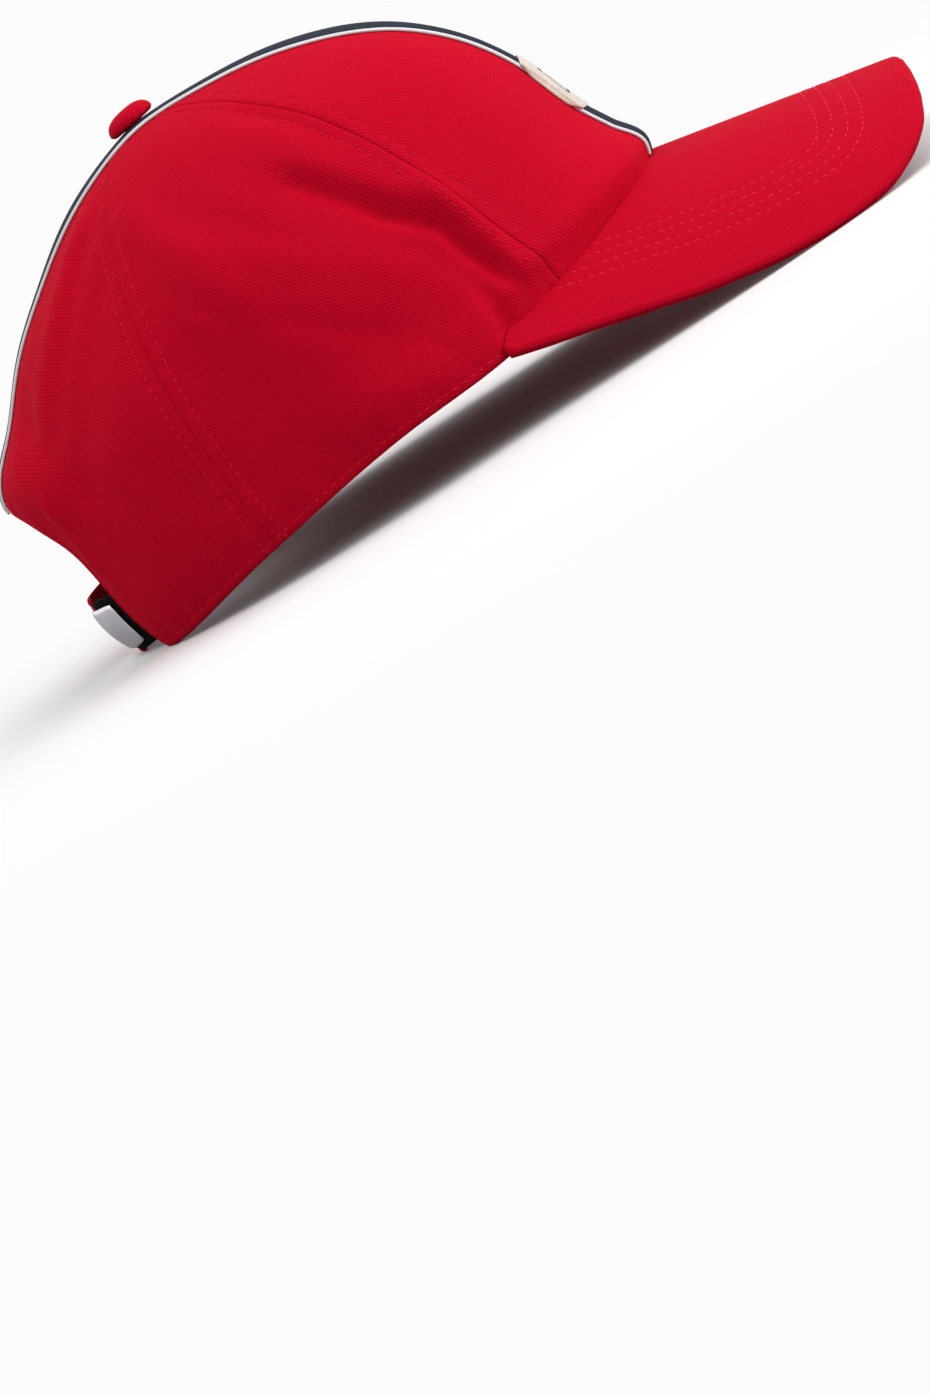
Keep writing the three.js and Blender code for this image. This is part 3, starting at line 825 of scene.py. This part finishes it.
def makePanel(name, side, label):
    look = panelLook["panels"][name]
    share = crowded(look["columns"], panelLook["crowdAcross"])[None, :]
    rise = crowded(panelLook["rows"], panelLook["crowdUp"])[:, None]
    share, rise = np.broadcast_arrays(share, rise)
    turn, up = panelPlaces(name, share, rise)
    radius = np.maximum(crown["rise"] * np.cos(np.radians(up)), crown["topHole"])
    turn = turn + np.degrees(crown["seamGap"] / radius) * (0.5 - share)
    turn = side * turn
    points = crownPlace(turn, up)
    normals = crownNormal(turn, up)
    low = lengthAlong(points, 0)
    fromEdge = lengthAlong(points, 1)
    toEdge = fromEdge[:, -1:] - fromEdge
    relief = panelRelief(name, np.abs(turn), fromEdge, toEdge, low)
    top = points + normals * relief[..., None]
    rounded = panelLook["rimRoundInside"] * hump(low, 0, panelLook["rimRoundWidth"])
    inside = crown["wall"] - rounded
    under = points - normals * inside[..., None]
    level = np.cos(np.radians(up)) * crown["halfWidth"]
    across = np.radians(np.abs(turn) - look["at"]) * level
    upward = np.radians(up) * crown["rise"]
    uv = cutAcross(np.stack([across, upward], -1), look["cut"])
    piece = sheetPiece(f"{name}Panel{label}", top, under, redTwill, uv)
    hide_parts(f"{name}_panel_{label.lower()}")
    edges = {"from": fromEdge, "to": toEdge, "low": low}
    return {"top": top, "normals": normals, "turn": np.abs(turn), **edges}


def lineBeside(panel, edge, distance):
    # the line of points on a panel at a distance from one of its edges
    away = panel[edge]
    grids = [panel["top"], panel["normals"]]
    if edge == "low":
        away = away.T
        grids = [grid.transpose(1, 0, 2) for grid in grids]
    if edge == "to":
        away = away[:, ::-1]
        grids = [grid[:, ::-1] for grid in grids]
    rows = [i for i in range(len(away)) if away[i, -1] > 2 * distance + 1]
    return [
        np.array([[np.interp(distance, away[i], grid[i, :, k]) for k in range(3)] for i in rows])
        for grid in grids
    ]


crownThread = {"length": 2.2, "gap": 0.9, "thick": 0.42, "lift": 0.03, "sink": 0.1}
seamRows = []
rimRows = []
for side, label in ((1, "Left"), (-1, "Right")):
    for name, look in panelLook["panels"].items():
        panel = makePanel(name, side, label)
        for edge in ("from", "to"):
            if look[edge] in ("frontSeam", "backSeam"):
                line = lineBeside(panel, edge, panelLook["stitchInset"])
                seamRows.append(stitchRow(*line, crownThread))
        if name == "front":
            continue
        points, normals = lineBeside(panel, "low", panelLook["rimStitch"])
        shown = panel["turn"][0] > panelLook["firstRimTurn"]
        rimRows.append(stitchRow(points[shown], normals[shown], crownThread))
stitchPiece("seamStitches", seamRows, redThread)
stitchPiece("rimStitches", rimRows, redThread)
print("crown panels sewn")

# the peak: a covered board over a cloth lining

peakRoot = crownPlace(0, upAtHeight(0, rimForm["height"][0]))
dip = radians(peak["dip"])
peakForward = np.array([cos(dip), 0, -sin(dip)])
peakUpward = np.array([sin(dip), 0, cos(dip)])
peakThick = peak["lining"] + peak["gap"] + peak["board"]


def peakPoint(forward, across, lift):
    # from a place on the flat peak to one on the bent peak
    bend = across / peak["bend"]
    out = peak["bend"] + lift
    rise = out * np.cos(bend) - peak["bend"]
    place = peakRoot + np.multiply.outer(forward, peakForward)
    place = place + np.multiply.outer(rise, peakUpward)
    return place + np.multiply.outer(out * np.sin(bend), [0, 1, 0])


def peakInner(across, lift):
    # where the peak meets the crown
    reach = crown["front"]
    start = peakPoint(0 * across - reach, across, 0 * across + lift)
    return leaveCrown(start, peakForward, peak["gap"], 2 * reach) - reach


cornerY = crownPlace(peak["corner"], rimUp(peak["corner"]))[1]
cornerAcross = peak["bend"] * np.arcsin(cornerY / peak["bend"])


def peakOuter(share):
    inner = float(peakInner(np.array(cornerAcross), 0))
    count = len(peakEdge["forward"])
    forward = [f * peak["length"] for f in peakEdge["forward"]]
    across = [a * peak["halfWidth"] for a in peakEdge["across"]]
    rows = {
        "at": [i / count for i in range(count + 1)],
        "forward": forward + [inner - peak["cornerEnd"] / 2],
        "across": across + [cornerAcross + peak["cornerEnd"]],
    }
    return between(rows, "at", "forward", share), between(rows, "at", "across", share)


def peakGrid(lift):
    # the flat places of the peak's grid, how far each lies from the outer edge, and its uv
    column = np.linspace(-1, 1, peak["columns"])
    share, sign = np.abs(column), np.sign(column)
    across = cornerAcross * share
    inner = peakInner(across, lift)
    outerForward, outerAcross = peakOuter(share)
    row = crowded(peak["rows"], peak["crowdAcross"])[:, None]
    forward = inner + (outerForward - inner) * row
    aside = sign * (across + (outerAcross - across) * row)
    return forward, aside, edgeDistance(forward, aside), np.stack([aside, forward], -1)


edgeShare = np.linspace(0, 1, 260)
edgeForward, edgeAcross = peakOuter(edgeShare)
edgeForward = np.concatenate([edgeForward[:0:-1], edgeForward])
edgeAcross = np.concatenate([-edgeAcross[:0:-1], edgeAcross])


def edgeDistance(forward, aside):
    return np.sqrt(
        ((forward[..., None] - edgeForward) ** 2 + (aside[..., None] - edgeAcross) ** 2).min(-1)
    )


def edgeDrop(distance, height):
    # a quarter round over the last stretch before the edge
    near = np.clip(1 - distance / peak["edgeRound"], 0, 1)
    return height * (1 - np.sqrt(1 - near * near))


peakInsets = [peak["stitchInset"] + i * peak["stitchSpacing"] for i in range(peak["stitchRows"])]


def makePeak():
    forward, aside, away, uv = peakGrid(peakThick)
    lift = peakThick - edgeDrop(away, peak["topRound"])
    for inset in peakInsets:
        lift -= peak["grooveDepth"] * hump(away, inset, peak["grooveWidth"])
    lift -= peak["boardEdge"] * hump(away, peak["boardEdgeAt"], peak["boardEdgeWidth"])
    top = peakPoint(forward, aside, lift)
    under = peakPoint(forward, aside, 0 * forward + peak["lining"] + peak["gap"])
    piece = sheetPiece("peakTop", top, under, redTwill, uv)
    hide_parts("peak_board")
    forward, aside, away, uv = peakGrid(0)
    top = peakPoint(forward, aside, peak["lining"] + 0.1 - edgeDrop(away, 0.1))
    # the outermost row of stitches draws the lining in
    drawn = 0.12 * hump(away, peak["stitchInset"], peak["grooveWidth"])
    under = peakPoint(forward, aside, edgeDrop(away, peak["liningRound"]) + drawn)
    piece = sheetPiece("peakLining", top, under, redTwill, uv)
    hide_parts("peak_lining")


peakThread = {"length": 2.1, "gap": 1.0, "thick": 0.42, "lift": -0.08, "sink": 0.1}


def peakStitches():
    rows = []
    tangent = unit(np.stack([np.gradient(edgeForward), np.gradient(edgeAcross)], -1))
    for inset in peakInsets:
        forward = edgeForward - tangent[:, 1] * inset
        across = edgeAcross + tangent[:, 0] * inset
        shown = forward > peakInner(np.abs(across), peakThick) + 0.8
        forward, across = forward[shown], across[shown]
        line = peakPoint(forward, across, 0 * forward + peakThick - peak["grooveDepth"] + 0.1)
        above = peakPoint(forward, across, 0 * forward + peakThick + 1)
        rows.append(stitchRow(line, unit(above - line), peakThread))
    stitchPiece("peakStitches", rows, paleThread)


makePeak()
peakStitches()
print("peak made")

# the ribbon over the crown, from the peak to the opening

ribbon = {
    "width": 25,
    "thick": 0.6,
    "lift": 0.45,
    "sunk": 0.25,  # its under face, below the lift
    "edgeRound": 0.3,
    "stitchInset": 1.3,
    "stitchDip": 0.12,
    "columns": 29,
    "rows": 420,
}


def ribbonEnd(across, front):
    # the angle at which the ribbon ends, just over the peak or at the opening's edge
    if front:
        onPeak = peakPoint(0 * across, across, 0 * across + peakThick)
        height = onPeak[..., 2] + peak["gap"] + ribbon["lift"]
    else:
        arched = np.sqrt(1 - (across / arch["halfWidth"]) ** 2)
        height = archFoot + (arch["top"] - archFoot) * arched
    angle = 0 * across + 10
    for _ in range(24):
        p = crossPoint(across, angle if front else 180 - angle, ribbon["lift"] + 0 * across)
        angle = angle + np.degrees((height - p[..., 2]) / crown["rise"]) * 0.8
    return angle if front else 180 - angle


def makeRibbon():
    across = ribbon["width"] * (crowded(ribbon["columns"], 0.4) - 0.5)
    front, back = ribbonEnd(across, True), ribbonEnd(across, False)
    along = np.linspace(0, 1, ribbon["rows"])[:, None]
    angle = front + (back - front) * along
    aside = across + 0 * angle
    under = crossPoint(aside, angle, 0 * angle + ribbon["lift"] - ribbon["sunk"])
    edge = ribbon["width"] / 2 - np.abs(aside)
    lift = ribbon["lift"] + ribbon["thick"] - ribbon["edgeRound"] * hump(edge, 0, 0.5)
    lift = lift - ribbon["stitchDip"] * hump(edge, ribbon["stitchInset"], 0.4)
    top = crossPoint(aside, angle, lift)
    uv = np.stack([aside, lengthAlong(top, 0)], -1)
    piece = sheetPiece("centreRibbon", top, under, ribbonCloth, uv)
    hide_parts("centre_ribbon")


makeRibbon()
print("ribbon laid")

# the covered button on the top

button = {
    "diameter": 15,
    "height": 5,
    "foot": 0.86,  # share of the radius at its seat
    "wall": 0.22,  # share of the height up to the widest ring
    "pleats": 14,
    "pleatDepth": 0.16,
    "pleatHeight": 1.6,
    "sides": 96,
    "rings": 30,
}


def makeButton():
    seat = crownPlace(0, 90)[2] + ribbon["lift"] + ribbon["thick"]
    radius = button["diameter"] / 2
    turn = np.linspace(0, 2 * np.pi, button["sides"], endpoint=False)
    rise = np.linspace(0, 0.985, button["rings"])[:, None] * np.pi / 2
    level = radius * np.cos(rise) ** 0.7
    height = button["height"] * (button["wall"] + (1 - button["wall"]) * np.sin(rise))
    foot = np.linspace(0, 1, 8)[:, None][:-1]
    rounded = np.sin(foot * np.pi / 2)
    footLevel = radius * (button["foot"] + (1 - button["foot"]) * rounded)
    footHeight = button["height"] * button["wall"] * foot
    level = np.vstack([footLevel, level])
    height = np.vstack([footHeight, height])
    # the cloth is drawn in under the edge in small pleats
    fade = np.exp(-height / button["pleatHeight"])
    level = level + button["pleatDepth"] * np.cos(button["pleats"] * turn) * fade
    points = np.stack([level * np.cos(turn), level * np.sin(turn), seat + height + 0 * turn], -1)
    rows, columns = points.shape[:2]
    index = np.arange(rows * columns).reshape(rows, columns)
    after = np.roll(index, -1, axis=1)
    walls = np.stack([index[:-1], after[:-1], after[1:], index[1:]], -1).reshape(-1, 4)
    faces = walls.tolist() + [index[0, ::-1].tolist(), index[-1].tolist()]
    points = points.reshape(-1, 3)
    piece = addPiece("topButton", points, faces, redTwill, points[:, :2])
    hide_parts("top_button")


makeButton()
print("button covered")

# the patch on the front, plain but for a thin line

badge = {
    "height": 25.5,
    "width": 28.4,
    "thick": 0.8,
    "middle": 17.6,
    "thinning": 0.35,
    "turnDown": 1.0,  # the sides bend down over the ribbon's edges
    "corner": 0.12,
    "border": 0.25,  # raised satin stitch round the edge
    "borderAt": 0.93,
    "borderWidth": 0.07,
    "groove": 0.12,  # the line where the satin stitch ends
    "grooveAt": 0.84,
    "grooveWidth": 0.03,
    "steps": 75,
}


def makeBadge():
    step = crowded(badge["steps"], 0.4) * 2 - 1
    a, b = np.meshgrid(step, step)
    soft = 1 - badge["corner"] * a * a * b * b
    halfTurn = np.degrees(badge["height"] / 2 / crown["front"])
    across = badge["width"] / 2 * a * soft
    angle = badge["middle"] + halfTurn * b * soft
    seat = ribbon["lift"] + ribbon["thick"]
    edge = np.maximum(np.abs(a), np.abs(b))
    lift = seat + badge["thick"] * (1 - badge["thinning"] * edge**10)
    lift = lift + badge["border"] * hump(edge, badge["borderAt"], badge["borderWidth"])
    lift = lift - badge["groove"] * hump(edge, badge["grooveAt"], badge["grooveWidth"])
    past = np.clip((np.abs(across) - ribbon["width"] / 2 - 0.2) / badge["turnDown"], 0, 1)
    bent = (seat - 0.1) * past * past * (3 - 2 * past)
    top = crossPoint(across, angle, lift - bent)
    under = crossPoint(across, angle, seat + 0.05 - bent)
    uv = np.stack([across, angle * radians(1) * crown["front"]], -1)
    piece = sheetPiece("frontBadge", top, under, patchCloth, uv)
    reach = piece.data.attributes.new("reach", "FLOAT", "POINT")
    reach.data.foreach_set("value", np.tile(edge.ravel(), 2).astype(np.float32))
    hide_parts("front_badge")


makeBadge()
print("badge sewn on")

# the closure: a strap from the left, a tab from the right and a plate over the join

plate = {"height": 15, "width": 27, "thick": 0.8, "swell": 0.7, "corner": 0.06, "bevel": 0.35}
strapMiddle = strap["low"] + strap["width"] / 2
strapHalfTurn = 180 - float(backPlace(arch["halfWidth"], strapMiddle)[0])
tuckTurn = np.degrees(strap["tuck"] / crown["halfWidth"])
plateHalfTurn = np.degrees(plate["width"] / 2 / crown["back"])


def bandPoint(turn, height, outward):
    # behind the panels at both ends, and standing out in the middle
    near = np.minimum(np.abs(turn) / (strapHalfTurn * strap["freeShare"]), 1)
    hidden = crown["wall"] + strap["clear"]
    lift = (strap["swell"] + hidden) * (1 - near * near) ** 1.5 - hidden
    up = upAtHeight(0 * turn + 180, height)
    return crownPoint(180 + turn, up, lift + outward)


def makeBand(name, node, material, first, last, inset, swell):
    along = np.linspace(0, 1, strap["columns"])[None, :]
    rise = crowded(strap["rows"], 0.5)[:, None]
    turn = first + (last - first) * along + 0 * rise
    low = strap["low"] + inset
    wide = strap["width"] - 2 * inset
    height = low + wide * rise + 0 * along
    edge = wide / 2 - np.abs(height - low - wide / 2)
    out = swell * hump(edge, 1.2, 0.9) - strap["hem"] * hump(edge, 0, 0.5)
    out = out - 0.15 * hump(edge, 2.6, 0.4)
    top = bandPoint(turn, height, out)
    under = bandPoint(turn, height, 0.3 * hump(edge, 0, 0.5) - strap["thick"])
    uv = np.stack([lengthAlong(top, 1), height], -1)
    piece = sheetPiece(name, top, under, material, uv)
    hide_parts(node)


def makeClosure():
    end = strapHalfTurn + tuckTurn
    join = strap["join"]  # the strap and the tab meet end to end under the plate
    inset = strap["tabInset"]
    makeBand("strapBand", "strap", redTwill, -end, join - 0.1, 0, 0.15)
    makeBand("strapTab", "strap_tab", blackTape, join + 0.1, end, inset, 0)
    rows = []
    for rise in (strap["stitchShare"], 1 - strap["stitchShare"]):
        turn = np.linspace(-strapHalfTurn * 0.85, join - 0.5, 160)
        height = 0 * turn + strap["low"] + strap["width"] * rise
        normals = crownNormal(180 + turn, upAtHeight(0 * turn + 180, height))
        rows.append(stitchRow(bandPoint(turn, height, 0 * turn), normals, crownThread))
    stitchPiece("strapStitches", rows, redThread)


def makePlate():
    a, b = np.meshgrid(crowded(61, 0.5) * 2 - 1, crowded(41, 0.5) * 2 - 1)
    soft = 1 - plate["corner"] * a**6 * b**6
    turn = strap["join"] + plateHalfTurn * a * soft
    height = strapMiddle + plate["height"] / 2 * b * soft
    domed = plate["swell"] * (1 - b**2) * (1 - a**4)
    bevel = plate["bevel"] * (hump(1 - np.abs(a), 0, 0.05) + hump(1 - np.abs(b), 0, 0.07))
    top = bandPoint(turn, height, peak["gap"] + plate["thick"] + domed - bevel)
    under = bandPoint(turn, height, 0 * turn + peak["gap"])
    uv = np.stack([a * plate["width"] / 2, b * plate["height"] / 2], -1)
    piece = sheetPiece("claspPlate", top, under, claspSteel, uv)
    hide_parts("clasp_plate")


makeClosure()
makePlate()
print("closure made")

# floor, light and camera

view = {
    "roll": 41.7,  # degrees that the rim leans in the picture
    "swing": -2,
    "lift": 8,
    "distance": 2000,
    "grain": 0.287,  # millimetres a pixel at the button's axis
    "imageSize": (930, 1395),
    "axisPixel": (398, 418),  # where the level rim meets the button's axis
}


def makeCamera():
    roll, swing, lift = (radians(view[key]) for key in ("roll", "swing", "lift"))
    right = Vector((cos(roll), 0, -sin(roll)))
    upward = Vector((sin(roll), 0, cos(roll)))
    toward = Vector((0, -1, 0)) * cos(swing) * cos(lift)
    toward += right * sin(swing) * cos(lift) + upward * sin(lift)
    right = upward.cross(toward).normalized()
    upward = toward.cross(right)
    wide, high = view["imageSize"]
    x, y = view["axisPixel"]
    aim = right * ((wide / 2 - x) * view["grain"]) - upward * ((high / 2 - y) * view["grain"])
    place = aim + toward * view["distance"]
    axes = [Vector(tippedWay(way)) for way in (right, upward, toward)]
    camera = addObject("camera", bpy.data.cameras.new("camera"))
    camera.matrix_world = Matrix(axes).transposed().to_4x4()
    camera.location = (Vector(tippedWay(place)) + Vector(crown["shift"])) * mm
    camera.data.sensor_width = 36  # spans the picture's height
    camera.data.lens = 36 * view["distance"] / (view["grain"] * high)
    camera.data.clip_end = 100
    scene.camera = camera
    return axes


studio = {
    # metres from the cap to the right, up and toward the eye, side of the lamp, watts
    "lamps": {
        "keyLight": (1.55, 1.25, 0.35, 1.4, 24.5),
        "topLight": (-0.2, 2.2, 0.7, 2.4, 28),
        "backLight": (-1.7, 0.5, 0.2, 1.5, 6),
    },
    "aim": (0, 0, 0.07),
    "skyOnCloth": 0.57,
    "skySeen": 1.0,
    "paper": 0.93,
    "paperUnderCloth": 0.43,
    "paperFar": 0.97,
    "fadeFrom": 0.06,  # metres from the cap's middle
    "fadeTo": 0.45,
    "floorHalf": 12,
}


def softBox(name, axes, right, upward, toward, size, watts):
    # a square lamp placed by the eye's axes, aimed at the crown
    light = addObject(name, bpy.data.lights.new(name, "AREA"))
    light.data.size = size
    light.data.energy = watts
    middle = Vector(studio["aim"])
    light.location = middle + axes[0] * right + axes[1] * upward + axes[2] * toward
    light.rotation_mode = "QUATERNION"
    light.rotation_quaternion = (middle - light.location).to_track_quat("-Z", "Y")


def whitePaper():
    # a pale paper sweep: soft shadows near the cap, plain white further off, and dimmer
    # where it lights the cap from below
    material, tree = newMaterial("whitePaper")
    place = addNode(tree, "NewGeometry")
    far = addNode(tree, "VectorMath", links={0: (place, "Position")}, operation="LENGTH")
    fade = addNode(
        tree, "MapRange", {"From Min": studio["fadeFrom"], "From Max": studio["fadeTo"]},
        {"Value": (far, "Value")}, interpolation_type="SMOOTHSTEP"
    )
    lit = addNode(tree, "BsdfDiffuse", {"Color": (*[studio["paper"]] * 3, 1)})
    plain = addNode(tree, "Emission", {"Strength": studio["paperFar"]})
    seen = addNode(
        tree, "MixShader", links={0: (fade, "Result"), 1: (lit, "BSDF"), 2: (plain, "Emission")}
    )
    dim = addNode(tree, "BsdfDiffuse", {"Color": (*[studio["paperUnderCloth"]] * 3, 1)})
    ray = addNode(tree, "LightPath")
    either = addNode(
        tree, "MixShader", links={0: (ray, "Is Camera Ray"), 1: (dim, "BSDF"), 2: (seen, "Shader")}
    )
    addNode(tree, "OutputMaterial", links={"Surface": (either, "Shader")})
    return material


def makeStudio(axes):
    for name, lamp in studio["lamps"].items():
        softBox(name, axes, *lamp)
    world = bpy.data.worlds.new("studioWorld")
    scene.world = world
    world.use_nodes = True
    tree = world.node_tree
    tree.nodes.clear()
    ray = addNode(tree, "LightPath")
    # white to the eye and in the metal, dimmer on the cloth
    shiny = addNode(
        tree, "Math", links={0: (ray, "Is Camera Ray"), 1: (ray, "Is Glossy Ray")},
        operation="MAXIMUM"
    )
    white = (1, 1, 1, 1)
    onCloth = {"Color": white, "Strength": studio["skyOnCloth"]}
    dim = addNode(tree, "Background", onCloth)
    seen = addNode(tree, "Background", {"Color": white, "Strength": studio["skySeen"]})
    mixed = addNode(
        tree, "MixShader",
        links={0: (shiny, "Value"), 1: (dim, "Background"), 2: (seen, "Background")}
    )
    addNode(tree, "OutputWorld", links={"Surface": (mixed, "Shader")})
    half = studio["floorHalf"]
    corners = [(-half, -half, 0), (half, -half, 0), (half, half, 0), (-half, half, 0)]
    mesh = bpy.data.meshes.new("floor")
    mesh.from_pydata(corners, [], [(0, 1, 2, 3)])
    mesh.materials.append(whitePaper())
    floor = addObject("floor", mesh)
    scene.view_settings.view_transform = "Standard"


makeStudio(makeCamera())
print("studio lit")
